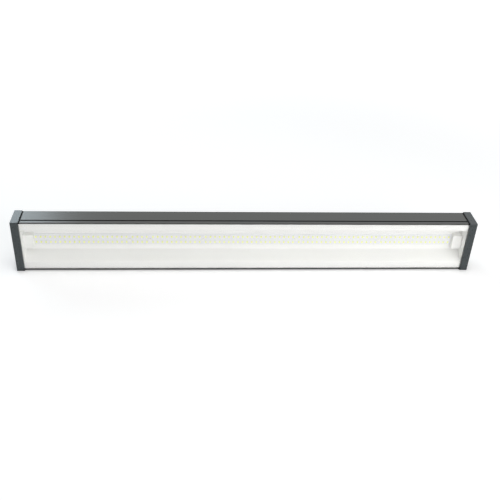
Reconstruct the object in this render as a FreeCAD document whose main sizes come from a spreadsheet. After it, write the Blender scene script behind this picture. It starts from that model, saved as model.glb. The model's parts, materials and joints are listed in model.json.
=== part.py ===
import FreeCAD, Part
import math
import os
import Sketcher

# An industrial linear LED light that stands on one long side, with its clear lens to the front.
# X runs along the lamp, Y from the lens to the back and Z up.
# The origin is under the middle of the whole lamp, on the surface that the end caps stand on.
# Sketches use the lamp's own section: depth behind the front of the caps, and height from mid-height.

doc = FreeCAD.newDocument("linear_led_light")
sheet = doc.addObject("Spreadsheet::Sheet", "lamp")

# Driving dimensions in millimetres, and counts.
DIMENSIONS = {
    # whole lamp and end caps
    "overall_length": 760.0,
    "cap_height": 92.8,
    "cap_depth": 40.2,
    "cap_thickness": 12.6,
    "cap_overhang": 1.0,
    "cap_edge_radius": 1.5,
    "cap_recess_depth": 8.0,
    "cap_rim": 3.2,
    "cap_boss_radius": 4.2,
    "gasket_thickness": 2.4,
    "gasket_rim": 11.0,
    "gasket_back_rim": 4.6,
    # extrusion
    "profile_front": 2.0,
    "profile_back": 39.8,
    "profile_corner_radius": 1.4,
    "profile_edge_round": 0.4,
    "side_wall": 1.8,
    "back_wall": 2.6,
    "lip_height": 2.4,
    "lip_thickness": 1.0,
    "slot_floor": 1.0,
    "rail_height": 5.0,
    "rail_end": 14.8,
    "groove_front": 8.6,
    "groove_width": 2.8,
    "groove_depth": 3.8,
    "rib_groove_width": 2.2,
    "rib_groove_depth": 1.2,
    "rib_groove_first": 13.5,
    "rib_groove_pitch": 4.5,
    "rib_groove_count": 7,
    "platform_thickness": 2.0,
    "platform_half_height": 19.5,
    "leg_height": 16.0,
    "leg_thickness": 2.0,
    "nut_channel_half": 5.3,
    "nut_channel_depth": 3.8,
    "nut_channel_wall": 1.6,
    "slot_half": 3.1,
    # screw channels in the extrusion
    "port_hole_radius": 1.5,
    "front_port_depth": 11.7,
    "front_port_height": 38.6,
    "front_port_radius": 3.2,
    "back_port_depth": 33.8,
    "back_port_height": 40.2,
    "back_port_radius": 3.8,
    # lens, seals and reflector
    "lens_thickness": 1.6,
    "lens_half_height": 43.7,
    "reflector_sheet": 0.8,
    "reflector_half_height": 44.1,
    "fold_radius": 0.8,
    "flange_fold": 30.4,
    "floor_fold": 19.3,
    "floor_depth": 27.3,
    "reflector_end_thickness": 1.0,
    "lead_hole_radius": 2.2,
    "lead_hole_height": -8.6,
    "lead_hole_inset": 6.0,
    # boards and LED packages
    "board_half_height": 10.0,
    "board_thickness": 1.6,
    "board_overlap": 5.0,
    "first_led": -348.1,
    "led_pitch": 7.745,
    "screw_gap": 2.4,
    "led_length": 2.8,
    "led_height": 3.5,
    "led_thickness": 0.7,
    "led_row": 5.0,
    "cover_face": 350.4,
    "cover_half_height": 12.7,
    "cover_front": 17.0,
    "cover_wall": 1.2,
    "cover_edge_radius": 0.8,
    # fasteners
    "board_screw_radius": 1.4,
    "board_screw_head_radius": 2.6,
    "board_screw_head": 1.6,
    "board_screw_length": 5.8,
    "board_hole_radius": 1.6,
    "cap_screw_radius": 1.5,
    "cap_screw_head_radius": 3.2,
    "cap_screw_head": 2.2,
    "cap_screw_length": 24.0,
    "cap_hole_radius": 1.7,
    "counterbore_radius": 3.8,
    "counterbore_depth": 2.8,
    "screw_head_bevel": 0.8,
    # driver and terminals, in the lower side of the housing
    "driver_length": 300.0,
    "driver_near": 22.4,
    "driver_far": 36.0,
    "driver_front": 23.6,
    "driver_edge_radius": 1.2,
    "driver_pad_thickness": 1.0,
    "terminal_x": -262.0,
    "terminal_length": 24.0,
    "terminal_front": 25.4,
    "terminal_step": 4.0,
    "terminal_poles": 3,
    "terminal_hole_radius": 1.5,
    # cable inlet
    "gland_x": -312.0,
    "gland_height": -27.2,
    "gland_spot_radius": 9.4,
    "gland_thread_radius": 6.0,
    "gland_bore_radius": 4.0,
    "gland_flats": 16.0,
    "gland_hex": 4.0,
    "gland_stub": 5.2,
    "gland_neck": 6.0,
    "gland_nut_length": 11.0,
    "gland_dome_radius": 6.8,
    "gland_dome_bevel": 1.8,
    "gland_seal_radius": 5.0,
    "gland_seal_length": 6.4,
    "cable_radius": 3.3,
    "lock_nut_flats": 15.0,
    "lock_nut": 3.4,
    # hanging brackets
    "bracket_x": 235.0,
    "bracket_width": 26.0,
    "bracket_half_height": 10.0,
    "bracket_sheet": 2.0,
    "bracket_reach": 16.4,
    "bracket_bend": 3.0,
    "bracket_corner": 6.0,
    "eye_radius": 4.0,
    "eye_setback": 7.0,
    "bracket_screw_radius": 2.5,
    "bracket_screw_head_radius": 4.6,
    "bracket_screw_head": 3.0,
    "bracket_screw_length": 7.6,
    "slot_nut_half": 5.0,
    "slot_nut": 3.2,
    # inner leads
    "lead_width": 2.2,
    "lead_bend": 3.0,
    "lead_depth": 27.0,
    "lead_height": -24.5,
    "lead_return_depth": 33.6,
    "lead_turn": 3.6,
    "lead_landing": 1.6,
    "mains_lead_radius": 1.1,
    "mains_lead_depth": 31.0,
    "mains_lead_height": -29.0,
    "mains_lead_spacing": 4.0,
}

for row, (alias, size) in enumerate(DIMENSIONS.items(), 1):
    sheet.set(f"A{row}", alias)
    sheet.set(f"B{row}", str(size))
    sheet.setAlias(f"B{row}", alias)
doc.recompute()

# LED columns between the board screws, from the left end: one tuple for each board.
LED_RUNS = {"left": (20, 4, 11, 9), "right": (11, 18, 16)}
SIDES = {"left": -1, "right": 1}

# Lengths and depths that several pieces share, as expressions of the cells.
HALF_PROFILE = "(lamp.overall_length / 2 - lamp.cap_thickness - lamp.gasket_thickness)"
HALF_REFLECTOR = f"({HALF_PROFILE} + lamp.gasket_thickness)"
HALF_HEIGHT = "(lamp.cap_height / 2 - lamp.cap_overhang)"
LIP = f"({HALF_HEIGHT} - lamp.lip_height)"
SLOT_FLOOR = f"({HALF_HEIGHT} - lamp.slot_floor)"
LENS_FRONT = "(lamp.profile_front + lamp.lip_thickness)"
LENS_BACK = f"({LENS_FRONT} + lamp.lens_thickness)"
FLANGE_BACK = f"({LENS_BACK} + lamp.reflector_sheet)"
BOARD_FRONT = "(lamp.floor_depth - lamp.board_thickness)"
PLATFORM_FRONT = "(lamp.floor_depth + lamp.reflector_sheet)"
PLATFORM_BACK = f"({PLATFORM_FRONT} + lamp.platform_thickness)"
BACK_INSIDE = "(lamp.profile_back - lamp.back_wall)"
RAIL = f"({HALF_HEIGHT} - lamp.rail_height)"
WALL_INSIDE = f"({HALF_HEIGHT} - lamp.side_wall)"
FRAME_SHIFT = "-(lamp.profile_back + lamp.bracket_reach) / 2"
FRAME_LIFT = "lamp.cap_height / 2"

# Screw channels: depth, height and the radius of the wall round each.
PORTS = [(f"lamp.{place}_port_depth", f"{sign}lamp.{place}_port_height", f"lamp.{place}_port_radius")
         for place in ("front", "back") for sign in ("", "-")]

made = []


def number(text):
    result = sheet.evalExpression(text.replace("lamp.", ""))
    return float(getattr(result, "Value", result))


def new_body(label):
    body = doc.addObject("PartDesign::Body", label)
    body.Label = label
    body.AllowCompound = True
    body.setExpression("Placement.Base.y", FRAME_SHIFT)
    body.setExpression("Placement.Base.z", FRAME_LIFT)
    made.append(body)
    return body


def origin_feature(body, role):
    return next(feature for feature in body.Origin.OriginFeatures if feature.Role == role)


def new_sketch(body, role, offset="0"):
    """A sketch parallel to a body plane. On XZ_Plane the offset is a depth, and pads run to the front."""
    sketch = body.newObject("Sketcher::SketchObject", "sketch")
    sketch.AttachmentSupport = [(origin_feature(body, role), "")]
    sketch.MapMode = "FlatFace"
    sketch.setExpression("AttachmentOffset.Base.z", f"-({offset})" if role == "XZ_Plane" else offset)
    return sketch


def pin(sketch, geometry, point, across, up):
    """Ties a point of the sketch to two expressions."""
    for kind, text in (("DistanceX", across), ("DistanceY", up)):
        constraint = sketch.addConstraint(Sketcher.Constraint(kind, -1, 1, geometry, point, number(text)))
        sketch.setExpression(f"Constraints[{constraint}]", text)


def outline(sketch, corners):
    """A closed outline of straight lines through corners, each a pair of expressions."""
    points = [FreeCAD.Vector(number(across), number(up), 0) for across, up in corners]
    first = sketch.GeometryCount
    following = [first + (i + 1) % len(points) for i in range(len(points))]
    sketch.addGeometry([Part.LineSegment(a, b) for a, b in zip(points, points[1:] + points[:1])], False)
    for i, after in enumerate(following):
        sketch.addConstraint(Sketcher.Constraint("Coincident", first + i, 2, after, 1))
    for i, (across, up) in enumerate(corners):
        pin(sketch, first + i, 1, across, up)


def mirrored(corners):
    """The same corners below mid-height, in the order that closes an outline."""
    return [(depth, f"-({height})") for depth, height in reversed(corners)]


def rectangle(sketch, left, right, low, high):
    outline(sketch, [(left, low), (right, low), (right, high), (left, high)])


def circle(sketch, across, up, radius):
    centre = FreeCAD.Vector(number(across), number(up), 0)
    ring = sketch.addGeometry(Part.Circle(centre, FreeCAD.Vector(0, 0, 1), number(radius)), False)
    pin(sketch, ring, 3, across, up)
    constraint = sketch.addConstraint(Sketcher.Constraint("Radius", ring, number(radius)))
    sketch.setExpression(f"Constraints[{constraint}]", radius)


def hexagon(sketch, across, up, flats):
    corner = f"({flats} / 2 / cos(30))"
    outline(sketch, [(f"{across} + {corner} * cos({turn})", f"{up} + {corner} * sin({turn})")
                     for turn in range(0, 360, 60)])


def extrude(body, kind, sketch, length, midplane=False, reverse=False):
    feature = body.newObject(f"PartDesign::{kind}", kind.lower())
    feature.Profile = sketch
    feature.setExpression("Length", length)
    feature.Midplane = midplane
    feature.Reversed = reverse
    doc.recompute()
    return feature


def pad(body, sketch, length, **way):
    return extrude(body, "Pad", sketch, length, **way)


def pocket(body, sketch, length, **way):
    before = body.Shape.Volume
    feature = extrude(body, "Pocket", sketch, length, **way)
    if body.Shape.Volume > before - 1e-6:
        raise RuntimeError(f"a pocket of {body.Label} cuts nothing")
    return feature


def pattern(body, kind, originals, **settings):
    feature = body.newObject(f"PartDesign::{kind}", kind.lower())
    feature.Originals = originals
    for name, setting in settings.items():
        if isinstance(setting, str):
            feature.setExpression(name, setting)
        else:
            setattr(feature, name, setting)
    body.Tip = feature
    doc.recompute()
    return feature


def dress_edges(body, kind, size, chosen):
    """Rounds or bevels the edges of the body's last feature whose middle point and edge pass the test."""
    base = body.Tip
    names = []
    for i, edge in enumerate(base.Shape.Edges, 1):
        middle = edge.valueAt((edge.FirstParameter + edge.LastParameter) / 2)
        if chosen(middle, edge):
            names.append(f"Edge{i}")
    feature = body.newObject(f"PartDesign::{kind}", kind.lower())
    feature.Base = (base, names)
    feature.setExpression("Radius" if kind == "Fillet" else "Size", size)
    doc.recompute()


def round_edges(body, radius, chosen):
    dress_edges(body, "Fillet", radius, chosen)


def bevel_edges(body, size, chosen):
    dress_edges(body, "Chamfer", size, chosen)


def along(edge, axis):
    direction = edge.valueAt(edge.LastParameter) - edge.valueAt(edge.FirstParameter)
    return direction.Length > 0 and abs(abs(direction.normalize()[axis]) - 1) < 1e-6


def near(value, *texts):
    return any(abs(value - number(text)) < 1e-4 for text in texts)


# Housing extrusion: one half of its section, padded and mirrored, then screw channels and the ribbed back.
def build_housing():
    body = new_body("housing_profile")
    half = new_sketch(body, "YZ_Plane")
    groove_back = "lamp.groove_front + lamp.groove_width"
    groove_floor = f"{HALF_HEIGHT} - lamp.groove_depth"
    leg_outside = "lamp.leg_height + lamp.leg_thickness"
    shelf_back = f"{BACK_INSIDE} - lamp.nut_channel_depth"
    shelf_front = f"{shelf_back} - lamp.nut_channel_wall"
    channel_outside = "lamp.nut_channel_half + lamp.nut_channel_wall"
    outline(half, [
        ("lamp.profile_back", "lamp.slot_half"),
        ("lamp.profile_back", HALF_HEIGHT),
        (groove_back, HALF_HEIGHT),
        (groove_back, groove_floor),
        ("lamp.groove_front", groove_floor),
        ("lamp.groove_front", HALF_HEIGHT),
        ("lamp.profile_front", HALF_HEIGHT),
        ("lamp.profile_front", LIP),
        (LENS_FRONT, LIP),
        (LENS_FRONT, SLOT_FLOOR),
        (FLANGE_BACK, SLOT_FLOOR),
        (FLANGE_BACK, RAIL),
        ("lamp.rail_end", RAIL),
        ("lamp.rail_end", WALL_INSIDE),
        (BACK_INSIDE, WALL_INSIDE),
        (BACK_INSIDE, leg_outside),
        (PLATFORM_BACK, leg_outside),
        (PLATFORM_BACK, "lamp.platform_half_height"),
        (PLATFORM_FRONT, "lamp.platform_half_height"),
        (PLATFORM_FRONT, "0"),
        (PLATFORM_BACK, "0"),
        (PLATFORM_BACK, "lamp.leg_height"),
        (BACK_INSIDE, "lamp.leg_height"),
        (BACK_INSIDE, channel_outside),
        (shelf_front, channel_outside),
        (shelf_front, "0"),
        (shelf_back, "0"),
        (shelf_back, "lamp.nut_channel_half"),
        (BACK_INSIDE, "lamp.nut_channel_half"),
        (BACK_INSIDE, "lamp.slot_half"),
    ])
    length = f"2 * {HALF_PROFILE}"
    upper = pad(body, half, length, midplane=True)
    pattern(body, "Mirrored", [upper], MirrorPlane=(origin_feature(body, "XY_Plane"), [""]))

    bosses = new_sketch(body, "YZ_Plane")
    holes = new_sketch(body, "YZ_Plane")
    for depth, height, radius in PORTS:
        circle(bosses, depth, height, radius)
        circle(holes, depth, height, "lamp.port_hole_radius")
    pad(body, bosses, length, midplane=True)
    pocket(body, holes, length, midplane=True)

    groove = new_sketch(body, "YZ_Plane")
    groove_edge = "lamp.rib_groove_first + lamp.rib_groove_width / 2"
    rectangle(groove, "lamp.profile_back - lamp.rib_groove_depth", "lamp.profile_back",
              f"{groove_edge} - lamp.rib_groove_width", groove_edge)
    first_groove = pocket(body, groove, length, midplane=True)
    across = body.newObject("PartDesign::LinearPattern", "grooves")
    across.Direction = (origin_feature(body, "Z_Axis"), [""])
    across.setExpression("Length", "lamp.rib_groove_pitch * (lamp.rib_groove_count - 1)")
    across.setExpression("Occurrences", "lamp.rib_groove_count")
    mirror = body.newObject("PartDesign::Mirrored", "both_sides")
    mirror.MirrorPlane = (origin_feature(body, "XY_Plane"), [""])
    pattern(body, "MultiTransform", [first_groove], Transformations=[across, mirror])

    spot = new_sketch(body, "XZ_Plane", "lamp.profile_back - lamp.rib_groove_depth")
    circle(spot, "lamp.gland_x", "lamp.gland_height", "lamp.gland_spot_radius")
    pocket(body, spot, "lamp.rib_groove_depth")
    inlet = new_sketch(body, "XZ_Plane", BACK_INSIDE)
    circle(inlet, "lamp.gland_x", "lamp.gland_height", "lamp.gland_thread_radius")
    pocket(body, inlet, "lamp.back_wall")

    drilled = new_sketch(body, "XZ_Plane", PLATFORM_BACK)
    for x in screw_places("left") + screw_places("right"):
        circle(drilled, x, "0", "lamp.board_screw_radius")
    for sign in SIDES.values():
        circle(drilled, lead_hole_x(sign), "lamp.lead_hole_height", "lamp.lead_hole_radius")
    pocket(body, drilled, "lamp.platform_thickness", reverse=True)
    round_edges(body, "lamp.profile_corner_radius", lambda middle, edge: along(edge, 0)
                and near(middle.y, "lamp.profile_back") and near(abs(middle.z), HALF_HEIGHT))
    round_edges(body, "lamp.profile_edge_round", lambda middle, edge: along(edge, 0) and (
                near(middle.y, "lamp.profile_front")
                or near(middle.y, "lamp.groove_front", groove_back) and near(abs(middle.z), HALF_HEIGHT)))


def led_start(side, run):
    """Expression for the first LED column of a run between screws."""
    columns = sum(LED_RUNS[side][:run])
    gaps = run
    if side == "right":
        columns += sum(LED_RUNS["left"])
        gaps += len(LED_RUNS["left"]) - 1
    return f"lamp.first_led + {columns} * lamp.led_pitch + {gaps} * lamp.screw_gap"


def screw_places(side):
    half_gap = "(lamp.led_pitch + lamp.screw_gap) / 2"
    return [f"{led_start(side, run)} - {half_gap}" for run in range(1, len(LED_RUNS[side]))]


def lead_hole_x(sign):
    return f"{sign} * ({HALF_PROFILE} - lamp.lead_hole_inset)"


# Clear lens, held behind the lips and by the caps, and the rubber strips along its edges in the slots.
def build_lens():
    length = f"2 * {HALF_REFLECTOR}"
    lens = new_body("front_lens")
    section = new_sketch(lens, "YZ_Plane")
    rectangle(section, LENS_FRONT, LENS_BACK, "-lamp.lens_half_height", "lamp.lens_half_height")
    pad(lens, section, length, midplane=True)
    for name, sign in (("upper", 1), ("lower", -1)):
        seal = new_body(f"lens_seal_{name}")
        section = new_sketch(seal, "YZ_Plane")
        rectangle(section, LENS_FRONT, LENS_BACK, f"{sign} * lamp.lens_half_height",
                  f"{sign} * {SLOT_FLOOR}")
        pad(seal, section, length, midplane=True)


# White reflector: a folded sheet with flanges, sloping wings and a flat floor, and the plates at its ends.
def build_reflector():
    tray = new_body("reflector_tray")
    turn = f"atan2(lamp.floor_depth - {LENS_BACK}; lamp.flange_fold - lamp.floor_fold)"
    shift = f"lamp.reflector_sheet * tan({turn} / 2)"
    section = new_sketch(tray, "YZ_Plane")
    half = [(PLATFORM_FRONT, f"lamp.floor_fold + {shift}"), (FLANGE_BACK, f"lamp.flange_fold + {shift}"),
            (FLANGE_BACK, "lamp.reflector_half_height"), (LENS_BACK, "lamp.reflector_half_height"),
            (LENS_BACK, "lamp.flange_fold"), ("lamp.floor_depth", "lamp.floor_fold")]
    outline(section, half + mirrored(half))
    pad(tray, section, f"2 * {HALF_REFLECTOR}", midplane=True)
    outer_radius = "lamp.fold_radius + lamp.reflector_sheet"
    for radius, depth, fold in (("lamp.fold_radius", "lamp.floor_depth", "lamp.floor_fold"),
                                (outer_radius, PLATFORM_FRONT, f"lamp.floor_fold + {shift}"),
                                ("lamp.fold_radius", FLANGE_BACK, f"lamp.flange_fold + {shift}"),
                                (outer_radius, LENS_BACK, "lamp.flange_fold")):
        round_edges(tray, radius, lambda middle, edge: along(edge, 0)
                    and near(middle.y, depth) and near(abs(middle.z), fold))
    drilled = new_sketch(tray, "XZ_Plane", PLATFORM_FRONT)
    for x in screw_places("left") + screw_places("right"):
        circle(drilled, x, "0", "lamp.board_hole_radius")
    for sign in SIDES.values():
        circle(drilled, lead_hole_x(sign), "lamp.lead_hole_height", "lamp.lead_hole_radius")
    pocket(tray, drilled, "lamp.reflector_sheet", reverse=True)

    for side, sign in SIDES.items():
        plate = new_body(f"reflector_end_{side}")
        section = new_sketch(plate, "YZ_Plane", f"{sign} * {HALF_REFLECTOR}")
        half = [("lamp.floor_depth", "lamp.floor_fold"), (LENS_BACK, "lamp.flange_fold")]
        outline(section, half + mirrored(half))
        pad(plate, section, "lamp.reflector_end_thickness", reverse=sign > 0)
        round_edges(plate, "lamp.fold_radius", lambda middle, edge: along(edge, 0)
                    and near(middle.y, "lamp.floor_depth"))


# Two white boards, their LED packages in two rows, and the screws in the wider gaps between runs of LEDs.
def build_boards():
    joint = f"{led_start('right', 0)} - lamp.led_pitch / 2"
    end = "(lamp.cover_face + lamp.board_overlap)"
    ends = {"left": (f"-{end}", joint), "right": (joint, end)}
    for side, (start, end) in ends.items():
        board = new_body(f"led_board_{side}")
        plate = new_sketch(board, "XZ_Plane", "lamp.floor_depth")
        rectangle(plate, start, end, "-lamp.board_half_height", "lamp.board_half_height")
        for x in screw_places(side):
            circle(plate, x, "0", "lamp.board_hole_radius")
        pad(board, plate, "lamp.board_thickness")

        chips = new_body(f"led_chips_{side}")
        for run, columns in enumerate(LED_RUNS[side]):
            pair = new_sketch(chips, "XZ_Plane", BOARD_FRONT)
            middle = led_start(side, run)
            for row in ("lamp.led_row", "-lamp.led_row"):
                rectangle(pair, f"{middle} - lamp.led_length / 2", f"{middle} + lamp.led_length / 2",
                          f"{row} - lamp.led_height / 2", f"{row} + lamp.led_height / 2")
            column = pad(chips, pair, "lamp.led_thickness")
            pattern(chips, "LinearPattern", [column], Direction=(origin_feature(chips, "X_Axis"), [""]),
                    Length=f"lamp.led_pitch * {columns - 1}", Occurrences=str(columns))

    screws = new_body("board_screws")
    heads = new_sketch(screws, "XZ_Plane", BOARD_FRONT)
    shanks = new_sketch(screws, "XZ_Plane", BOARD_FRONT)
    for x in screw_places("left") + screw_places("right"):
        circle(heads, x, "0", "lamp.board_screw_head_radius")
        circle(shanks, x, "0", "lamp.board_screw_radius")
    pad(screws, heads, "lamp.board_screw_head")
    pad(screws, shanks, "lamp.board_screw_length", reverse=True)
    bevel_edges(screws, "lamp.screw_head_bevel", lambda middle, edge:
                near(middle.y, f"{BOARD_FRONT} - lamp.board_screw_head"))


# White moulded covers over the wire ends of the boards: hollow boxes, notched for the board.
def build_wire_covers():
    outer = f"({HALF_REFLECTOR} - lamp.reflector_end_thickness)"
    for side, sign in SIDES.items():
        cover = new_body(f"wire_cover_{side}")
        face = f"{sign} * lamp.cover_face"
        block = new_sketch(cover, "XZ_Plane", "lamp.floor_depth")
        rectangle(block, face, f"{sign} * {outer}", "-lamp.cover_half_height", "lamp.cover_half_height")
        pad(cover, block, "lamp.floor_depth - lamp.cover_front")
        round_edges(cover, "lamp.cover_edge_radius", lambda middle, edge: near(middle.y, "lamp.cover_front")
                    and (near(middle.x, face) or near(abs(middle.z), "lamp.cover_half_height")))
        inside = new_sketch(cover, "XZ_Plane", "lamp.floor_depth")
        rectangle(inside, f"{face} + {sign} * lamp.cover_wall", f"{sign} * ({outer} - lamp.cover_wall)",
                  "-(lamp.cover_half_height - lamp.cover_wall)", "lamp.cover_half_height - lamp.cover_wall")
        pocket(cover, inside, "lamp.floor_depth - lamp.cover_front - lamp.cover_wall", reverse=True)
        notch = new_sketch(cover, "XZ_Plane", "lamp.floor_depth")
        rectangle(notch, f"{face} - lamp.cover_wall", f"{face} + lamp.cover_wall",
                  "-lamp.board_half_height", "lamp.board_half_height")
        pocket(cover, notch, "lamp.board_thickness", reverse=True)


# Cast end caps with a hollow inner side and counterbored screw holes, their screws and their gaskets.
# A gasket follows the extrusion's section and is open at the front, where lens and reflector meet the cap.
def build_ends():
    half_height = "lamp.cap_height / 2"
    for side, sign in SIDES.items():
        inner = f"{sign} * (lamp.overall_length / 2 - lamp.cap_thickness)"
        outer = f"{sign} * lamp.overall_length / 2"
        cap = new_body(f"end_cap_{side}")
        block = new_sketch(cap, "YZ_Plane", inner)
        rectangle(block, "0", "lamp.cap_depth", f"-{half_height}", half_height)
        pad(cap, block, "lamp.cap_thickness", reverse=sign < 0)
        round_edges(cap, "lamp.cap_edge_radius", lambda middle, edge: not near(middle.x, inner))
        recess = new_sketch(cap, "YZ_Plane", inner)
        rim = "lamp.cap_rim + lamp.cap_overhang"
        rectangle(recess, "lamp.profile_front + lamp.cap_rim", "lamp.profile_back - lamp.cap_rim",
                  f"-({half_height} - {rim})", f"{half_height} - {rim}")
        pocket(cap, recess, "lamp.cap_recess_depth", reverse=sign > 0)
        bosses = new_sketch(cap, "YZ_Plane", inner)
        holes = new_sketch(cap, "YZ_Plane", outer)
        sinks = new_sketch(cap, "YZ_Plane", outer)
        for depth, height, _ in PORTS:
            circle(bosses, depth, height, "lamp.cap_boss_radius")
            circle(holes, depth, height, "lamp.cap_hole_radius")
            circle(sinks, depth, height, "lamp.counterbore_radius")
        pad(cap, bosses, "lamp.cap_recess_depth", reverse=sign < 0)
        pocket(cap, sinks, "lamp.counterbore_depth", reverse=sign < 0)
        pocket(cap, holes, "lamp.cap_thickness", reverse=sign < 0)

        gasket = new_body(f"end_gasket_{side}")
        ring = new_sketch(gasket, "YZ_Plane", f"{sign} * {HALF_PROFILE}")
        opening = f"{HALF_HEIGHT} - lamp.gasket_rim"
        half = [("lamp.profile_back", HALF_HEIGHT), ("lamp.profile_front", HALF_HEIGHT),
                ("lamp.profile_front", LIP), (LENS_FRONT, LIP), (LENS_FRONT, SLOT_FLOOR),
                (FLANGE_BACK, SLOT_FLOOR), (FLANGE_BACK, opening),
                ("lamp.profile_back - lamp.gasket_back_rim", opening)]
        outline(ring, half + mirrored(half))
        for depth, height, _ in PORTS:
            circle(ring, depth, height, "lamp.cap_hole_radius")
        pad(gasket, ring, "lamp.gasket_thickness", reverse=sign < 0)
        round_edges(gasket, "lamp.profile_corner_radius", lambda middle, edge: along(edge, 0)
                    and near(middle.y, "lamp.profile_back"))

        screws = new_body(f"end_cap_screws_{side}")
        seat = f"{sign} * (lamp.overall_length / 2 - lamp.counterbore_depth)"
        heads = new_sketch(screws, "YZ_Plane", seat)
        shanks = new_sketch(screws, "YZ_Plane", seat)
        for depth, height, _ in PORTS:
            circle(heads, depth, height, "lamp.cap_screw_head_radius")
            circle(shanks, depth, height, "lamp.cap_screw_radius")
        pad(screws, heads, "lamp.cap_screw_head", reverse=sign < 0)
        pad(screws, shanks, "lamp.cap_screw_length", reverse=sign > 0)
        top = f"{sign} * (lamp.overall_length / 2 - lamp.counterbore_depth + lamp.cap_screw_head)"
        bevel_edges(screws, "lamp.screw_head_bevel", lambda middle, edge: near(middle.x, top))


# Slim driver on a thermal pad, and the mains terminals, against the back wall below the board.
def build_driver():
    pad_front = f"{BACK_INSIDE} - lamp.driver_pad_thickness"
    driver = new_body("led_driver")
    section = new_sketch(driver, "YZ_Plane")
    rectangle(section, "lamp.driver_front", pad_front, "-lamp.driver_far", "-lamp.driver_near")
    pad(driver, section, "lamp.driver_length", midplane=True)
    round_edges(driver, "lamp.driver_edge_radius", lambda middle, edge: along(edge, 0))

    cushion = new_body("driver_pad")
    section = new_sketch(cushion, "YZ_Plane")
    rectangle(section, pad_front, BACK_INSIDE, "-(lamp.driver_far - lamp.driver_edge_radius)",
              "-(lamp.driver_near + lamp.driver_edge_radius)")
    pad(cushion, section, "lamp.driver_length", midplane=True)

    block = new_body("terminal_block")
    section = new_sketch(block, "YZ_Plane", "lamp.terminal_x - lamp.terminal_length / 2")
    shoulder = "lamp.terminal_front + lamp.terminal_step"
    step = "-(lamp.driver_near + lamp.terminal_step)"
    outline(section, [(BACK_INSIDE, "-lamp.driver_far"), (BACK_INSIDE, "-lamp.driver_near"),
                      (shoulder, "-lamp.driver_near"), (shoulder, step),
                      ("lamp.terminal_front", step), ("lamp.terminal_front", "-lamp.driver_far")])
    pad(block, section, "lamp.terminal_length")
    screws = new_sketch(block, "XZ_Plane", "lamp.terminal_front")
    spacing = "lamp.terminal_length / lamp.terminal_poles"
    middle = f"({step} - lamp.driver_far) / 2"
    circle(screws, f"lamp.terminal_x - {spacing}", middle, "lamp.terminal_hole_radius")
    first = pocket(block, screws, "lamp.terminal_step")
    pattern(block, "LinearPattern", [first], Direction=(origin_feature(block, "X_Axis"), [""]),
            Length=f"{spacing} * (lamp.terminal_poles - 1)", Occurrences="lamp.terminal_poles")


# Cable inlet on the back: body with hexagon and threaded stub, dome nut, rubber seal and inner lock nut.
def build_gland():
    place = ("lamp.gland_x", "lamp.gland_height")
    seat = "(lamp.profile_back - lamp.rib_groove_depth)"
    nut_front = f"({seat} + lamp.gland_hex)"
    body = new_body("gland_body")
    flange = new_sketch(body, "XZ_Plane", seat)
    hexagon(flange, *place, "lamp.gland_flats")
    pad(body, flange, "lamp.gland_hex", reverse=True)
    for depth, length, reverse in ((seat, "lamp.gland_stub", False), (nut_front, "lamp.gland_neck", True)):
        thread = new_sketch(body, "XZ_Plane", depth)
        circle(thread, *place, "lamp.gland_thread_radius")
        pad(body, thread, length, reverse=reverse)
    bore = new_sketch(body, "XZ_Plane", f"{seat} - lamp.gland_stub")
    circle(bore, *place, "lamp.gland_bore_radius")
    pocket(body, bore, "lamp.gland_stub + lamp.gland_hex + lamp.gland_neck")
    cup = new_sketch(body, "XZ_Plane", f"{nut_front} + lamp.gland_neck")
    circle(cup, *place, "lamp.gland_seal_radius")
    pocket(body, cup, "lamp.gland_neck", reverse=True)

    seal = new_body("gland_seal")
    ring = new_sketch(seal, "XZ_Plane", nut_front)
    circle(ring, *place, "lamp.gland_seal_radius")
    circle(ring, *place, "lamp.cable_radius")
    pad(seal, ring, "lamp.gland_seal_length", reverse=True)

    nut = new_body("gland_nut")
    grip = new_sketch(nut, "XZ_Plane", nut_front)
    hexagon(grip, *place, "lamp.gland_flats")
    pad(nut, grip, "lamp.gland_neck", reverse=True)
    dome = new_sketch(nut, "XZ_Plane", nut_front)
    circle(dome, *place, "lamp.gland_dome_radius")
    pad(nut, dome, "lamp.gland_nut_length", reverse=True)
    bevel_edges(nut, "lamp.gland_dome_bevel", lambda middle, edge:
                near(middle.y, f"{nut_front} + lamp.gland_nut_length"))
    inside = new_sketch(nut, "XZ_Plane", nut_front)
    circle(inside, *place, "lamp.gland_thread_radius")
    pocket(nut, inside, "lamp.gland_seal_length")
    mouth = new_sketch(nut, "XZ_Plane", nut_front)
    circle(mouth, *place, "lamp.gland_bore_radius")
    pocket(nut, mouth, "lamp.gland_nut_length")

    lock = new_body("gland_lock_nut")
    ring = new_sketch(lock, "XZ_Plane", BACK_INSIDE)
    hexagon(ring, *place, "lamp.lock_nut_flats")
    circle(ring, *place, "lamp.gland_thread_radius")
    pad(lock, ring, "lamp.lock_nut")


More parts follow.
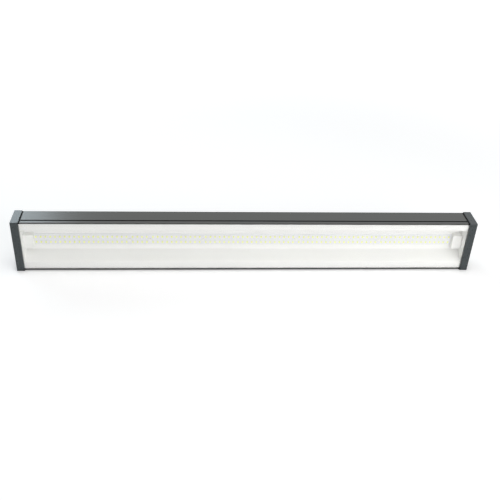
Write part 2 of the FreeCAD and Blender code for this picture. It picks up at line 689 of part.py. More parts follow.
# Bent steel hanging brackets over the slot in the back, with their screws and square nuts.
def build_brackets():
    foot = "(lamp.profile_back + lamp.bracket_sheet)"
    reach = "(lamp.profile_back + lamp.bracket_reach)"
    top = "lamp.bracket_half_height"
    for side, sign in SIDES.items():
        bracket = new_body(f"hanging_bracket_{side}")
        section = new_sketch(bracket, "YZ_Plane", f"{sign} * lamp.bracket_x - lamp.bracket_width / 2")
        outline(section, [("lamp.profile_back", f"-{top}"), ("lamp.profile_back", top), (reach, top),
                          (reach, f"{top} - lamp.bracket_sheet"), (foot, f"{top} - lamp.bracket_sheet"),
                          (foot, f"-{top}")])
        pad(bracket, section, "lamp.bracket_width")
        round_edges(bracket, "lamp.bracket_bend", lambda middle, edge: along(edge, 0)
                    and near(middle.y, "lamp.profile_back") and near(middle.z, top))
        round_edges(bracket, "lamp.bracket_bend - lamp.bracket_sheet", lambda middle, edge: along(edge, 0)
                    and near(middle.y, foot) and near(middle.z, f"{top} - lamp.bracket_sheet"))
        round_edges(bracket, "lamp.bracket_corner", lambda middle, edge:
                    along(edge, 2) and near(middle.y, reach))
        eye = new_sketch(bracket, "XY_Plane", top)
        circle(eye, f"{sign} * lamp.bracket_x", f"{reach} - lamp.eye_setback", "lamp.eye_radius")
        pocket(bracket, eye, "lamp.bracket_sheet")
        hole = new_sketch(bracket, "XZ_Plane", foot)
        circle(hole, f"{sign} * lamp.bracket_x", "0", "lamp.bracket_screw_radius")
        pocket(bracket, hole, "lamp.bracket_sheet", reverse=True)

    screws = new_body("bracket_screws")
    heads = new_sketch(screws, "XZ_Plane", foot)
    shanks = new_sketch(screws, "XZ_Plane", foot)
    nuts = new_body("slot_nuts")
    squares = new_sketch(nuts, "XZ_Plane", BACK_INSIDE)
    for sign in SIDES.values():
        x = f"{sign} * lamp.bracket_x"
        circle(heads, x, "0", "lamp.bracket_screw_head_radius")
        circle(shanks, x, "0", "lamp.bracket_screw_radius")
        rectangle(squares, f"{x} - lamp.slot_nut_half", f"{x} + lamp.slot_nut_half",
                  "-lamp.slot_nut_half", "lamp.slot_nut_half")
        circle(squares, x, "0", "lamp.bracket_screw_radius")
    pad(screws, heads, "lamp.bracket_screw_head", reverse=True)
    pad(screws, shanks, "lamp.bracket_screw_length")
    bevel_edges(screws, "lamp.screw_head_bevel", lambda middle, edge:
                near(middle.y, f"{foot} + lamp.bracket_screw_head"))
    pad(nuts, squares, "lamp.slot_nut")


def twin_lead(label, points, width, bend):
    """A lead of square section along straight runs, parallel to the axes, that tangent arcs join."""
    points = [FreeCAD.Vector(*point) for point in points]
    edges = []
    start = points[0]
    for before, corner, after in zip(points, points[1:], points[2:]):
        back = (before - corner).normalize()
        ahead = (after - corner).normalize()
        half_turn = (math.pi - back.getAngle(ahead)) / 2
        reach = bend * math.tan(half_turn)
        inward = (back + ahead).normalize()
        arc_start = corner + back * reach
        arc_middle = corner + inward * (bend / math.cos(half_turn) - bend)
        arc_end = corner + ahead * reach
        edges.append(Part.LineSegment(start, arc_start).toShape())
        edges.append(Part.Arc(arc_start, arc_middle, arc_end).toShape())
        start = arc_end
    edges.append(Part.LineSegment(start, points[-1]).toShape())
    path = Part.Wire(edges)
    corners = [points[0] + FreeCAD.Vector(0, y, z) * (width / 2)
               for y, z in ((-1, -1), (1, -1), (1, 1), (-1, 1))]
    section = Part.makePolygon(corners + corners[:1])
    feature = doc.addObject("Part::Feature", label)
    feature.Label = label
    feature.Shape = path.makePipeShell([section], True, False)
    feature.Placement.Base = FreeCAD.Vector(0, number(FRAME_SHIFT), number(FRAME_LIFT))
    made.append(feature)
    swept = width ** 2 * path.Length
    print(f"{label} volume over section times length: {feature.Shape.Volume / swept:.4f}")


# Inner leads: mains from the terminals to the driver, and one from the driver round each end to its board.
def build_leads():
    mains = new_body("mains_leads")
    start = "lamp.terminal_x + lamp.terminal_length / 2"
    pair = new_sketch(mains, "YZ_Plane", start)
    for step in ("lamp.mains_lead_spacing / 2", "-lamp.mains_lead_spacing / 2"):
        circle(pair, "lamp.mains_lead_depth", f"lamp.mains_lead_height + {step}", "lamp.mains_lead_radius")
    pad(mains, pair, f"-lamp.driver_length / 2 - ({start})")

    run = (number("lamp.lead_depth"), number("lamp.lead_height"))
    back = (number("lamp.lead_return_depth"), number("lamp.lead_hole_height"))
    on_board = number(f"{BOARD_FRONT} - lamp.lead_width / 2")
    for side, sign in SIDES.items():
        turn = sign * number(f"{HALF_REFLECTOR} + lamp.lead_turn")
        hole = number(lead_hole_x(sign))
        landing = sign * number("lamp.cover_face + lamp.lead_landing")
        twin_lead(f"led_lead_{side}", [
            (sign * number("lamp.driver_length / 2"), *run),
            (turn, *run),
            (turn, back[0], run[1]),
            (turn, *back),
            (hole, *back),
            (hole, on_board, back[1]),
            (landing, on_board, back[1]),
        ], number("lamp.lead_width"), number("lamp.lead_bend"))


build_housing()
build_lens()
build_reflector()
build_boards()
build_wire_covers()
build_ends()
build_driver()
build_gland()
build_brackets()
build_leads()
doc.recompute()

faults = [item.Name for item in doc.Objects if {"Invalid", "Error"} & set(item.State)]
faults += [body.Label for body in made if body.Shape.isNull() or not body.Shape.isValid()]
if faults:
    raise RuntimeError(f"failed objects: {faults}")

os.makedirs("parts", exist_ok=True)
for body in made:
    body.Shape.exportStep(f"parts/{body.Label}.step")
    box = body.Shape.BoundBox
    print(f"{body.Label:24s} solids {len(body.Shape.Solids):3d}  volume {body.Shape.Volume:9.0f}  "
          f"x {box.XMin:7.1f} {box.XMax:7.1f}  y {box.YMin:6.1f} {box.YMax:6.1f}  "
          f"z {box.ZMin:5.1f} {box.ZMax:5.1f}")
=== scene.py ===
import json
import math

import bmesh
import bpy
from mathutils import Matrix, Vector


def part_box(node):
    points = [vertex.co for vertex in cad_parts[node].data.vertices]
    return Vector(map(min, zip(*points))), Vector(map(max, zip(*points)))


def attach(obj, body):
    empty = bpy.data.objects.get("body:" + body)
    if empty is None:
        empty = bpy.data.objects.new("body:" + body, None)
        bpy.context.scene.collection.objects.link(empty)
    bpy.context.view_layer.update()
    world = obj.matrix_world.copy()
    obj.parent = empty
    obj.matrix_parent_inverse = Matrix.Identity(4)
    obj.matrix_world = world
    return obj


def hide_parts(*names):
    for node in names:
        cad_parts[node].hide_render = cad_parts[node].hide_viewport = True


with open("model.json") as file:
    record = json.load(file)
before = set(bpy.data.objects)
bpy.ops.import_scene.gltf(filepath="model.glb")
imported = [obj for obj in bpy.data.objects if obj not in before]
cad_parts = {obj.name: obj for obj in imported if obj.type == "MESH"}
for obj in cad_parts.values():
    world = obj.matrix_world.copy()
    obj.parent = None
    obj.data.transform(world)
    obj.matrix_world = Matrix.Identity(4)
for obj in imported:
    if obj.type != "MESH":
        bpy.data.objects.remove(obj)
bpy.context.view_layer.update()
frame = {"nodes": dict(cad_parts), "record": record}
nodes = frame["nodes"]
mm = 0.001
print("frame loaded,", len(nodes), "nodes")


# sRGB hex to linear
def hexColour(code):
    channels = [int(code[i:i + 2], 16) / 255 for i in (1, 3, 5)]
    return [c / 12.92 if c <= 0.04045 else ((c + 0.055) / 1.055) ** 2.4 for c in channels] + [1.0]


# adds a node: inputs take a value or another node's output, settings are the node's own properties
def addNode(material, kind, inputs=None, **settings):
    tree = material.node_tree
    node = tree.nodes.new(kind)
    for name, value in settings.items():
        setattr(node, name, value)
    for socket, value in (inputs or {}).items():
        if isinstance(value, bpy.types.NodeSocket):
            tree.links.new(value, node.inputs[socket])
        else:
            node.inputs[socket].default_value = value
    return node


def newMaterial(name):
    material = bpy.data.materials.new(name)
    material.use_nodes = True
    material.node_tree.nodes.clear()
    return material


def finishMaterial(material, shader):
    addNode(material, "ShaderNodeOutputMaterial", {"Surface": shader.outputs[0]})
    return material


# camera where the photograph was taken from, in mm and degrees
viewpoint = {"place": (-88.3, -1023.5, 700.2), "turn": -5.245, "tilt": 56.62, "roll": 2.886,
             "lens": 52.04, "sensor": 36}


def placeCamera():
    data = bpy.data.cameras.new("viewCamera")
    data.lens = viewpoint["lens"]
    data.sensor_width = viewpoint["sensor"]
    camera = bpy.data.objects.new("viewCamera", data)
    bpy.context.scene.collection.objects.link(camera)
    placed = Matrix.Translation(Vector(viewpoint["place"]) * mm)
    turned = Matrix.Rotation(math.radians(viewpoint["turn"]), 4, "Z")
    tilted = Matrix.Rotation(math.radians(viewpoint["tilt"]), 4, "X")
    rolled = Matrix.Rotation(math.radians(viewpoint["roll"]), 4, "Z")
    camera.matrix_world = placed @ turned @ tilted @ rolled
    bpy.context.scene.camera = camera
    print("camera placed")


# white floor and surroundings, in metres
studio = {
    "floorSize": 12.0, "floorColour": "#ECECEC",
    "glowNear": 0.42, "nearEnds": 0.55, "glowFar": 1.0, "farStarts": 1.9,
    "closeShade": 0.012, "shadeSamples": 8,
    "surround": "#FFFFFF", "surroundLight": 0.28, "surroundShown": 1.0,
}
# softboxes at the front right, overhead and behind on the left
softboxes = [
    {"name": "keyRight", "place": (0.75, -1.25, 0.7), "aim": (0.1, 0.0, 0.05),
     "size": (1.2, 0.8), "watts": 9.0, "colour": "#FFFFFF"},
    {"name": "overhead", "place": (0.2, -0.1, 1.7), "aim": (0.2, 0.0, 0.05),
     "size": (1.6, 1.0), "watts": 8.4, "colour": "#FFFFFF"},
    {"name": "backLeft", "place": (-1.4, 1.5, 1.05), "aim": (-0.35, 0.0, 0.09),
     "size": (1.5, 0.7), "watts": 14.5, "colour": "#E6F6FF"},
]


# one value for the light that falls on the part, and another for what the camera, gloss and glass show
def shownAs(material, light, shown):
    path = addNode(material, "ShaderNodeLightPath")
    seen = path.outputs["Is Camera Ray"]
    for kind in ("Is Glossy Ray", "Is Transmission Ray"):
        either = addNode(material, "ShaderNodeMath", {0: seen, 1: path.outputs[kind]}, operation="MAXIMUM")
        seen = either.outputs[0]
    chosen = addNode(material, "ShaderNodeMapRange", {"Value": seen, "To Min": light, "To Max": shown})
    return chosen.outputs[0]


def setStudio():
    scene = bpy.context.scene
    scene.view_settings.view_transform = "Standard"
    mesh = bpy.data.meshes.new("floor")
    bm = bmesh.new()
    bmesh.ops.create_grid(bm, x_segments=1, y_segments=1, size=studio["floorSize"] / 2)
    bm.to_mesh(mesh)
    bm.free()
    floor = bpy.data.objects.new("floor", mesh)
    scene.collection.objects.link(floor)

    # white paper: it glows a little where it is seen, more where the softboxes don't reach, so it reads as
    # white;
    # # close under the part the glow is cut by ambient occlusion, which paints a contact shadow there
    paper = newMaterial("whitePaper")
    diffuse = addNode(paper, "ShaderNodeBsdfDiffuse", {"Color": hexColour(studio["floorColour"])})
    place = addNode(paper, "ShaderNodeTexCoord")
    reach = addNode(paper, "ShaderNodeVectorMath", {0: place.outputs["Object"]}, operation="LENGTH")
    glow = addNode(paper, "ShaderNodeMapRange", {
        "Value": reach.outputs["Value"], "From Min": studio["nearEnds"], "From Max": studio["farStarts"],
        "To Min": studio["glowNear"], "To Max": studio["glowFar"]}, interpolation_type="SMOOTHSTEP")
    # ambient occlusion dims the paper's glow close under the part: a painted contact shadow
    clear = addNode(paper, "ShaderNodeAmbientOcclusion", {"Distance": studio["closeShade"]},
                    samples=studio["shadeSamples"])
    glowWithPaintedShadow = addNode(paper, "ShaderNodeMath", {0: glow.outputs[0], 1: clear.outputs["AO"]},
                   operation="MULTIPLY")
    shine = addNode(paper, "ShaderNodeEmission", {"Strength": shownAs(paper, 0.0, glowWithPaintedShadow.outputs[0])})
    both = addNode(paper, "ShaderNodeAddShader", {0: diffuse.outputs[0], 1: shine.outputs[0]})
    floor.data.materials.append(finishMaterial(paper, both))

    world = bpy.data.worlds.new("studioWorld")
    scene.world = world
    world.use_nodes = True
    world.node_tree.nodes.clear()
    level = shownAs(world, studio["surroundLight"], studio["surroundShown"])
    background = addNode(world, "ShaderNodeBackground", {
        "Color": hexColour(studio["surround"]), "Strength": level})
    addNode(world, "ShaderNodeOutputWorld", {"Surface": background.outputs[0]})

    for box in softboxes:
        light = bpy.data.lights.new(box["name"], "AREA")
        light.shape = "RECTANGLE"
        light.size, light.size_y = box["size"]
        light.energy = box["watts"]
        light.color = hexColour(box["colour"])[:3]
        holder = bpy.data.objects.new(box["name"], light)
        scene.collection.objects.link(holder)
        holder.location = box["place"]
        towards = Vector(box["aim"]) - Vector(box["place"])
        holder.rotation_euler = towards.to_track_quat("-Z", "Y").to_euler()
    print("studio set")


# noise in Object coordinates, with grains of that size in mm along each axis
def addGrain(material, size):
    place = addNode(material, "ShaderNodeTexCoord")
    scaled = addNode(material, "ShaderNodeMapping", {
        "Vector": place.outputs["Object"], "Scale": [1 / (length * mm) for length in size]})
    noise = addNode(material, "ShaderNodeTexNoise", {
        "Vector": scaled.outputs[0], "Scale": 1.0, "Detail": 2.0})
    return noise.outputs["Fac"]


# a coat, plate or moulding: two close tones, a range of roughness and a relief in mm, all from one grain
def grainedFinish(name, tones, roughness, grain, relief, extra=None):
    material = newMaterial(name)
    noise = addGrain(material, grain)
    tone = addNode(material, "ShaderNodeMix", {
        "Factor": noise, "A": hexColour(tones[0]), "B": hexColour(tones[1])}, data_type="RGBA")
    dull = addNode(material, "ShaderNodeMapRange", {
        "Value": noise, "To Min": roughness[0], "To Max": roughness[1]})
    bump = addNode(material, "ShaderNodeBump", {"Height": noise, "Distance": relief * mm})
    surface = addNode(material, "ShaderNodeBsdfPrincipled", {
        "Base Color": tone.outputs["Result"], "Roughness": dull.outputs[0], "Normal": bump.outputs[0],
        **(extra or {})})
    return finishMaterial(material, surface)


# clear polycarbonate sheet: it mirrors the room faintly, bends light a little, lets the softboxes shine
# through and has soft roller lines along its length, in mm
clearLook = {"tint": "#FEFEFE", "shadowTint": "#FAFAF9", "ior": 1.58, "roughness": (0.0, 0.02),
             "lines": (260, 9, 9), "relief": 0.005}


def clearSheet():
    material = newMaterial("clearPolycarbonate")
    noise = addGrain(material, clearLook["lines"])
    dull = addNode(material, "ShaderNodeMapRange", {
        "Value": noise, "To Min": clearLook["roughness"][0], "To Max": clearLook["roughness"][1]})
    bump = addNode(material, "ShaderNodeBump", {"Height": noise, "Distance": clearLook["relief"] * mm})
    glass = addNode(material, "ShaderNodeBsdfPrincipled", {
        "Base Color": hexColour(clearLook["tint"]), "Roughness": dull.outputs[0], "Normal": bump.outputs[0],
        "IOR": clearLook["ior"], "Transmission Weight": 1.0})
    gap = addNode(material, "ShaderNodeBsdfTransparent", {"Color": hexColour(clearLook["shadowTint"])})
    path = addNode(material, "ShaderNodeLightPath")
    sheet = addNode(material, "ShaderNodeMixShader", {
        0: path.outputs["Is Shadow Ray"], 1: glass.outputs[0], 2: gap.outputs[0]})
    return finishMaterial(material, sheet)


placeCamera()
setStudio()

# tones, roughness, grain and relief of each finish, by the record's slot
finishes = {
    # satin grey coat on an extrusion: even grey, faint lines along the length from the die
    "housing_coat": grainedFinish("greyCoatedExtrusion", ("#464846", "#4E504D"), (0.2, 0.28),
                                  (180, 1.1, 1.1), 0.006, {"Specular IOR Level": 0.45}),
    # powder coat on a casting: fine orange peel that breaks up the gloss, drawn coarser than real to show
    "cap_coat": grainedFinish("texturedPowderCoat", ("#32393B", "#3D4547"), (0.24, 0.33),
                              (1.6, 1.6, 1.6), 0.03, {"Specular IOR Level": 0.5}),
    "clear_lens": clearSheet(),
    # white coil-coated sheet: clean, half glossy, very slightly wavy
    "white_sheet": grainedFinish("whiteCoatedSheet", ("#F2F2EF", "#F5F5F3"), (0.36, 0.42),
                                 (30, 12, 12), 0.01),
    # moulded ABS: white, softly matt, with a fine spark texture
    "white_plastic": grainedFinish("mouldedAbs", ("#F1F1EE", "#F5F5F2"), (0.44, 0.52),
                                   (0.6, 0.6, 0.6), 0.008),
    # white solder mask: flat, faintly cool white with a low gloss
    "board_white": grainedFinish("whiteSolderMask", ("#E5E6EA", "#EBECEF"), (0.34, 0.42),
                                 (4, 4, 4), 0.004),
    # phosphor in clear silicone: pale greenish yellow, slightly grainy
    "led_phosphor": grainedFinish("phosphorSilicone", ("#F8FF4C", "#FEFF70"), (0.3, 0.42),
                                  (0.3, 0.3, 0.3), 0.01),
    # EPDM rubber: deep black, dull
    "black_rubber": grainedFinish("epdmRubber", ("#0B0B0B", "#121212"), (0.68, 0.82),
                                  (0.8, 0.8, 0.8), 0.01, {"Specular IOR Level": 0.2}),
    # moulded nylon: black with a soft sheen and a faint eroded grain
    "black_nylon": grainedFinish("mouldedNylon", ("#17171A", "#202023"), (0.38, 0.5),
                                 (0.7, 0.7, 0.7), 0.01),
    # zinc plate on steel: bluish silver, cloudy in patches of a few mm
    "zinc_steel": grainedFinish("zincPlatedSteel", ("#A9AFB4", "#C0C4C7"), (0.26, 0.4),
                                (5, 5, 5), 0.004, {"Metallic": 1.0}),
    # polycarbonate driver case: off-white, matt
    "driver_case": grainedFinish("polycarbonateCase", ("#DFDFDA", "#E6E6E2"), (0.46, 0.56),
                                 (0.8, 0.8, 0.8), 0.01),
    # filled silicone pad: blue-grey, chalky
    "thermal_pad": grainedFinish("siliconePad", ("#8791A1", "#949EAD"), (0.76, 0.86),
                                 (1.5, 1.5, 1.5), 0.02),
    # PVC wire sleeve: pale grey, waxy
    "lead_sleeve": grainedFinish("pvcSleeve", ("#CBCBC5", "#D4D4CF"), (0.36, 0.44),
                                 (1.0, 1.0, 1.0), 0.005),
}
slots = {entry["node"]: entry["material_slot"] for entry in frame["record"]["subparts"]}
for node, slot in slots.items():
    nodes[node].material_slots[0].material = finishes[slot]
print("finishes on", len(slots), "nodes")

# how meshes are joined and shaded: mm and degrees
meshing = {"weld": 0.002, "flat": 1, "smooth": 20, "roundSegments": 2}


# a copy of a CAD node's loose triangles, merged
def mergedCopy(node):
    bm = bmesh.new()
    bm.from_mesh(nodes[node].data)
    bmesh.ops.remove_doubles(bm, verts=bm.verts, dist=meshing["weld"] * mm)
    return bm


# triangles of one flat face become that face again
def joinFlats(bm):
    limit = math.radians(meshing["flat"])
    bmesh.ops.dissolve_limit(bm, angle_limit=limit, verts=bm.verts[:], edges=bm.edges[:])


def roundEdges(bm, edges, width):
    bmesh.ops.bevel(bm, geom=edges, offset=width * mm, segments=meshing["roundSegments"], profile=0.5,
                    affect="EDGES", material=-1, clamp_overlap=True)


# the separate solids of a CAD node as boxes, from left to right
def solidBoxes(node):
    bm = mergedCopy(node)
    boxes = []
    waiting = set(bm.verts)
    while waiting:
        front = [waiting.pop()]
        island = []
        while front:
            vert = front.pop()
            island.append(vert.co.copy())
            linked = {edge.other_vert(vert) for edge in vert.link_edges} & waiting
            waiting -= linked
            front += linked
        low = Vector([min(co[axis] for co in island) for axis in range(3)])
        high = Vector([max(co[axis] for co in island) for axis in range(3)])
        boxes.append((low, high))
    bm.free()
    return sorted(boxes, key=lambda box: tuple(box[0]))


# a mesh becomes the piece that stands for those nodes, with rounded forms shaded smooth
def makePiece(name, bm, replaced, slot, *extra):
    bmesh.ops.recalc_face_normals(bm, faces=bm.faces)
    for face in bm.faces:
        face.smooth = True
    mesh = bpy.data.meshes.new(name)
    bm.to_mesh(mesh)
    bm.free()
    mesh.set_sharp_from_angle(angle=math.radians(meshing["smooth"]))
    for material in (finishes[slot], *extra):
        mesh.materials.append(material)
    piece = bpy.data.objects.new(name, mesh)
    bpy.context.scene.collection.objects.link(piece)
    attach(piece, "root")
    if replaced:
        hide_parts(*replaced)
    even = piece.modifiers.new("flatFacesStayFlat", "WEIGHTED_NORMAL")
    even.keep_sharp = True
    print(name, len(mesh.polygons), "faces")


# a skin over rings of (corners, radius, height) in mm up the Z axis, each grown from the one before it;
# closed grows the last back to the first
def addRings(bm, sides, rings, closed=False):
    loops = []
    for corners, radius, height in rings + (rings[:1] if closed else []):
        if loops:
            grown = bmesh.ops.extrude_edge_only(bm, edges=loops[-1])["geom"]
            verts = [item for item in grown if isinstance(item, bmesh.types.BMVert)]
            edges = [item for item in grown if isinstance(item, bmesh.types.BMEdge)]
            loops.append([edge for edge in edges if edge.is_boundary])
        else:
            verts = bmesh.ops.create_circle(bm, segments=sides, radius=radius * mm)["verts"]
            loops.append(list(dict.fromkeys(edge for vert in verts for edge in vert.link_edges)))
        step = 2 * math.pi / corners
        for vert in verts:  # points of a hexagon lie on the lines between its corners, one of which is on Y
            angle = math.atan2(vert.co.x, vert.co.y) % step - step / 2
            reach = vert.co.xy.normalized() * radius * math.cos(step / 2) / math.cos(angle) * mm
            vert.co = (reach.x, reach.y, height * mm)
    if closed:
        ends = dict.fromkeys(vert for edge in loops[0] + loops[-1] for vert in edge.verts)
        bmesh.ops.remove_doubles(bm, verts=list(ends), dist=meshing["weld"] * mm)
    return loops


# moves what was added since, built up the Z axis from the origin, to stand on a point and face a direction
def standOn(bm, older, point, direction):
    turned = Vector(direction).to_track_quat("Z", "Y").to_matrix().to_4x4()
    fresh = [vert for vert in bm.verts if vert not in older]
    bmesh.ops.transform(bm, matrix=Matrix.Translation(point) @ turned, verts=fresh)


# lens: the sheet with eased edges, clear of the reflector behind it by a hair, in mm
lensSheet = {"gap": 0.25, "edge": 0.3}


def buildLens():
    low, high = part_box("front_lens")
    high.y -= lensSheet["gap"] * mm
    bm = bmesh.new()
    middle = Matrix.Translation((low + high) / 2)
    bmesh.ops.create_cube(bm, size=1.0, matrix=middle @ Matrix.Diagonal((*(high - low), 1.0)))
    roundEdges(bm, bm.edges[:], lensSheet["edge"])
    makePiece("clearLens", bm, ["front_lens"], "clear_lens")


# LED package: a white frame round a sunken phosphor window with sloping sides, and a solder fillet at both
# ends, in mm; the fillet's width and slope are shares
ledPackage = {"frame": 0.12, "slope": 0.1, "sink": 0.08, "solder": 0.2, "solderHeight": 0.2,
              "solderWidth": 0.7, "solderSlope": 0.8}


def buildLeds():
    ceramic = finishes["white_plastic"]
    solder = finishes["zinc_steel"]
    for side in ("left", "right"):
        boxes = solidBoxes(f"led_chips_{side}")
        size = boxes[0][1] - boxes[0][0]
        bm = bmesh.new()
        bmesh.ops.create_cube(bm, size=1.0, matrix=Matrix.Diagonal((*size, 1.0)))
        window = [face for face in bm.faces if face.normal.y < -0.5]
        bmesh.ops.inset_region(bm, faces=window, thickness=ledPackage["frame"] * mm)
        bmesh.ops.inset_region(bm, faces=window, thickness=ledPackage["slope"] * mm,
                               depth=-ledPackage["sink"] * mm)
        for face in bm.faces:
            face.material_index = 0 if face in window else 1
        for end in (-1, 1):
            reach = Vector((size.x * ledPackage["solderWidth"], ledPackage["solderHeight"] * mm,
                            ledPackage["solder"] * mm))
            place = Vector((0, (size.y - reach.y) / 2, end * (size.z + reach.z) / 2))
            shape = Matrix.Translation(place) @ Matrix.Diagonal((*reach, 1.0))
            bead = bmesh.ops.create_cube(bm, size=1.0, matrix=shape)["verts"]
            outer = [vert for vert in bead if vert.co.y < place.y and abs(vert.co.z) > abs(place.z)]
            bmesh.ops.translate(bm, vec=(0, reach.y * ledPackage["solderSlope"], 0), verts=outer)
            for face in {face for vert in bead for face in vert.link_faces}:
                face.material_index = 2
        pattern = bm.verts[:] + bm.edges[:] + bm.faces[:]
        for low, high in boxes:
            copied = bmesh.ops.duplicate(bm, geom=pattern)["geom"]
            verts = [item for item in copied if isinstance(item, bmesh.types.BMVert)]
            bmesh.ops.translate(bm, vec=(low + high) / 2, verts=verts)
        bmesh.ops.delete(bm, geom=pattern, context="VERTS")
        makePiece(f"ledPackages{side.title()}", bm, [f"led_chips_{side}"], "led_phosphor", ceramic, solder)


# pan head screws with a cross recess: patch, recess and dome as shares of the head, the rest in mm
panHead = {"patch": 0.64, "cells": 8, "crossDepth": 0.6, "taper": 0.06,
           "dome": [(0.9, 0.8), (0.985, 0.5), (1.0, 0.25), (1.0, 0.0)],
           "boardShank": 1.4, "capShank": 1.5, "capHead": 2.2}


def addPanScrew(bm, point, direction, headRadius, headHeight, shankRadius, shankLength):
    older = set(bm.verts)
    cells, half = panHead["cells"], panHead["patch"] * headRadius * mm
    lifted = Matrix.Translation((0, 0, headHeight * mm))
    top = bmesh.ops.create_grid(bm, x_segments=cells, y_segments=cells, size=half, matrix=lifted)["verts"]
    patch = list(dict.fromkeys(face for vert in top for face in vert.link_faces))
    rim = [edge for face in patch for edge in face.edges if edge.is_boundary]
    cell = 2 * half / cells
    cross = []
    for face in patch:
        near, far = sorted(abs(value) for value in face.calc_center_median().xy)
        if near < cell and far < half - cell:  # arms two cells wide that stop a cell short of the rim
            cross.append(face)
    bmesh.ops.inset_region(bm, faces=cross, thickness=panHead["taper"] * mm,
                           depth=-panHead["crossDepth"] * headHeight * mm)
    sides = 4 * cells
    dome = [(sides, headRadius * across, headHeight * up) for across, up in panHead["dome"]]
    loops = addRings(bm, sides, dome + [(sides, shankRadius, 0.0), (sides, shankRadius, -shankLength)])
    bmesh.ops.bridge_loops(bm, edges=rim + loops[0])
    bmesh.ops.edgeloop_fill(bm, edges=loops[-1])
    standOn(bm, older, point, direction)


def buildPanScrews():
    bm = bmesh.new()
    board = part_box("led_board_left")[0].y
    for low, high in solidBoxes("board_screws"):
        middle = (low + high) / 2
        addPanScrew(bm, (middle.x, board, middle.z), (0, -1, 0), (high.x - low.x) / 2 / mm,
                    (board - low.y) / mm, panHead["boardShank"], (high.y - board) / mm)
    makePiece("boardScrews", bm, ["board_screws"], "white_plastic")
    head = panHead["capHead"]
    for side, sign in (("left", -1), ("right", 1)):
        bm = bmesh.new()
        for low, high in solidBoxes(f"end_cap_screws_{side}"):
            middle = (low + high) / 2
            seat = (high.x if sign > 0 else low.x) - sign * head * mm
            addPanScrew(bm, (seat, middle.y, middle.z), (sign, 0, 0), (high.z - low.z) / 2 / mm,
                        head, panHead["capShank"], (high.x - low.x) / mm - head)
        makePiece(f"capScrews{side.title()}", bm, [f"end_cap_screws_{side}"], "zinc_steel")


# button head screw with a hexagon socket, for the brackets, in mm; the dome in shares of the head
buttonHead = {"socket": 1.75, "socketDepth": 1.6, "head": 3.0, "shank": 2.5, "sides": 36,
              "dome": [(0.55, 1.0), (0.8, 0.86), (0.95, 0.55), (1.0, 0.2), (1.0, 0.0)]}


def buildButtonScrews():
    bm = bmesh.new()
    sides, head, socket, shank = [buttonHead[key] for key in ("sides", "head", "socket", "shank")]
    for low, high in solidBoxes("bracket_screws"):
        older = set(bm.verts)
        middle = (low + high) / 2
        radius = (high.z - low.z) / 2 / mm
        length = (high.y - low.y) / mm - head
        hollow = [(6, socket, head - buttonHead["socketDepth"]), (6, socket, head)]
        dome = [(sides, radius * across, head * up) for across, up in buttonHead["dome"]]
        loops = addRings(bm, sides, hollow + dome + [(sides, shank, 0.0), (sides, shank, -length)])
        for end in (loops[0], loops[-1]):
            bmesh.ops.edgeloop_fill(bm, edges=end)
        standOn(bm, older, (middle.x, high.y - head * mm, middle.z), (0, 1, 0))
    makePiece("bracketScrews", bm, ["bracket_screws"], "zinc_steel")


# cable gland: dome nut with its hexagon grip, and the body with hexagon, thread stub and neck, in mm; the
# dome's rim as steps in from its side and down from its top
cableGland = {"corner": 9.2375, "edge": 0.35, "grip": 6.0, "dome": 6.8, "mouthDepth": 4.0, "bore": 4.0,
              "rim": [(0.0, 2.2), (0.3, 1.1), (1.0, 0.3), (1.9, 0.0)],
              "thread": 6.0, "threadEnd": 0.5, "bodyHexagon": 4.0, "neckOuter": 5.98, "neckInner": 5.02,
              "sides": 42}


def buildGland():
    sizes = cableGland
    sides, corner, edge, bore, thread = [sizes[key] for key in ("sides", "corner", "edge", "bore", "thread")]

    # a hexagon with eased ends
    def hexagonRings(height):
        return [(6, corner - edge, 0.0), (6, corner, edge),
                (6, corner, height - edge), (6, corner - edge, height)]

    nutLow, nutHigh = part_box("gland_nut")
    bodyLow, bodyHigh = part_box("gland_body")
    middle = (nutLow + nutHigh) / 2
    length = (nutHigh.y - nutLow.y) / mm
    grip, dome, mouth = sizes["grip"], sizes["dome"], length - sizes["mouthDepth"]
    bm = bmesh.new()
    # the grip, the dome with a rounded rim, its mouth and the bore
    rim = [(sides, dome - inward, length - down) for inward, down in sizes["rim"]]
    addRings(bm, sides, hexagonRings(grip) + [(sides, dome, grip)] + rim + [
        (sides, bore, length), (sides, bore, mouth),
        (sides, thread, mouth), (sides, thread, 0.0)], closed=True)
    standOn(bm, set(), (middle.x, nutLow.y, middle.z), (0, 1, 0))
    makePiece("glandNut", bm, ["gland_nut"], "black_nylon")

    hexagon = sizes["bodyHexagon"]
    start = nutLow.y - hexagon * mm
    stub = (start - bodyLow.y) / mm
    top = hexagon + (bodyHigh.y - nutLow.y) / mm
    outer, inner, tip = sizes["neckOuter"], sizes["neckInner"], sizes["threadEnd"]
    bm = bmesh.new()
    # the thread stub with a tapered tip, the hexagon, then the neck that the nut closes over
    addRings(bm, sides, [
        (sides, bore, -stub), (sides, thread - tip, -stub), (sides, thread, tip - stub), (sides, thread, 0.0),
        *hexagonRings(hexagon), (sides, outer, hexagon), (sides, outer, top),
        (sides, inner, top), (sides, inner, hexagon), (sides, bore, hexagon)], closed=True)
    standOn(bm, set(), (middle.x, start, middle.z), (0, 1, 0))
    makePiece("glandBody", bm, ["gland_body"], "black_nylon")


# black strip laid in the groove along both sides of the extrusion, a painted shade: it draws the groove's
# darkness as a dark insert, in mm
grooveShadeStrip = {"front": -19.5, "width": 2.8, "depth": 3.8, "wall": 0.5, "below": 0.1}


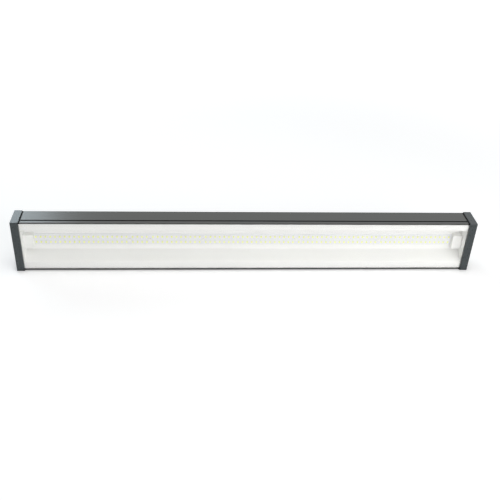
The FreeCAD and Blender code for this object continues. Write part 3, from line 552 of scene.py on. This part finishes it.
def buildGrooveShadeStrips():
    low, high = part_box("housing_profile")
    front, width, depth, wall, below = [grooveShadeStrip[key] * mm
                                        for key in ("front", "width", "depth", "wall", "below")]
    for name, side, surface in (("Upper", 1, high.z), ("Lower", -1, low.z)):
        outer = surface - side * below
        floor = surface - side * depth
        middle = Vector(((low.x + high.x) / 2, front + width / 2, (outer + floor) / 2))
        size = Matrix.Diagonal((high.x - low.x, width, depth - below, 1.0))
        bm = bmesh.new()
        bmesh.ops.create_cube(bm, size=1.0, matrix=Matrix.Translation(middle) @ size)
        mouth = [face for face in bm.faces if face.normal.z * side > 0.5]
        bmesh.ops.inset_region(bm, faces=mouth, thickness=wall)
        bmesh.ops.translate(bm, vec=(0, 0, side * (wall + below - depth)), verts=mouth[0].verts[:])
        # the black strip stands in for the shade inside the groove: painted shade
        makePiece(f"grooveShadeStrip{name}", bm, [], "black_rubber")


# end caps with tighter outer edges than the solid's: the rims that it rounds shrink towards their corners,
# in mm
capEdge = {"solid": 1.5, "shown": 0.6, "slack": 0.01}


def buildCaps():
    share = capEdge["shown"] / capEdge["solid"]
    rim = (capEdge["solid"] + capEdge["slack"]) * mm
    for side, sign in (("left", -1), ("right", 1)):
        low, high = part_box(f"end_cap_{side}")
        outer = high.x if sign > 0 else low.x
        planes = [(0, outer), (1, low.y), (1, high.y), (2, low.z), (2, high.z)]
        bm = mergedCopy(f"end_cap_{side}")
        for vert in bm.verts:
            for axis, plane in planes:
                if abs(vert.co[axis] - plane) < rim:
                    vert.co[axis] = plane + (vert.co[axis] - plane) * share
        joinFlats(bm)
        makePiece(f"endCap{side.title()}", bm, [f"end_cap_{side}"], "cap_coat")


# pressed and moulded pieces with eased edges: the width in mm, on edges sharper than that many degrees
easedEdges = {"hanging_bracket_left": 0.3, "hanging_bracket_right": 0.3,
              "wire_cover_left": 0.25, "wire_cover_right": 0.25}
sharpFrom = 40


def easeEdges():
    for node, width in easedEdges.items():
        bm = mergedCopy(node)
        joinFlats(bm)
        sharp = [edge for edge in bm.edges
                 if edge.is_manifold and edge.calc_face_angle() > math.radians(sharpFrom)]
        roundEdges(bm, sharp, width)
        first, *others = node.split("_")
        makePiece(first + "".join(word.title() for word in others), bm, [node], slots[node])


buildLens()
buildLeds()
buildPanScrews()
buildButtonScrews()
buildGland()
buildGrooveShadeStrips()
buildCaps()
easeEdges()
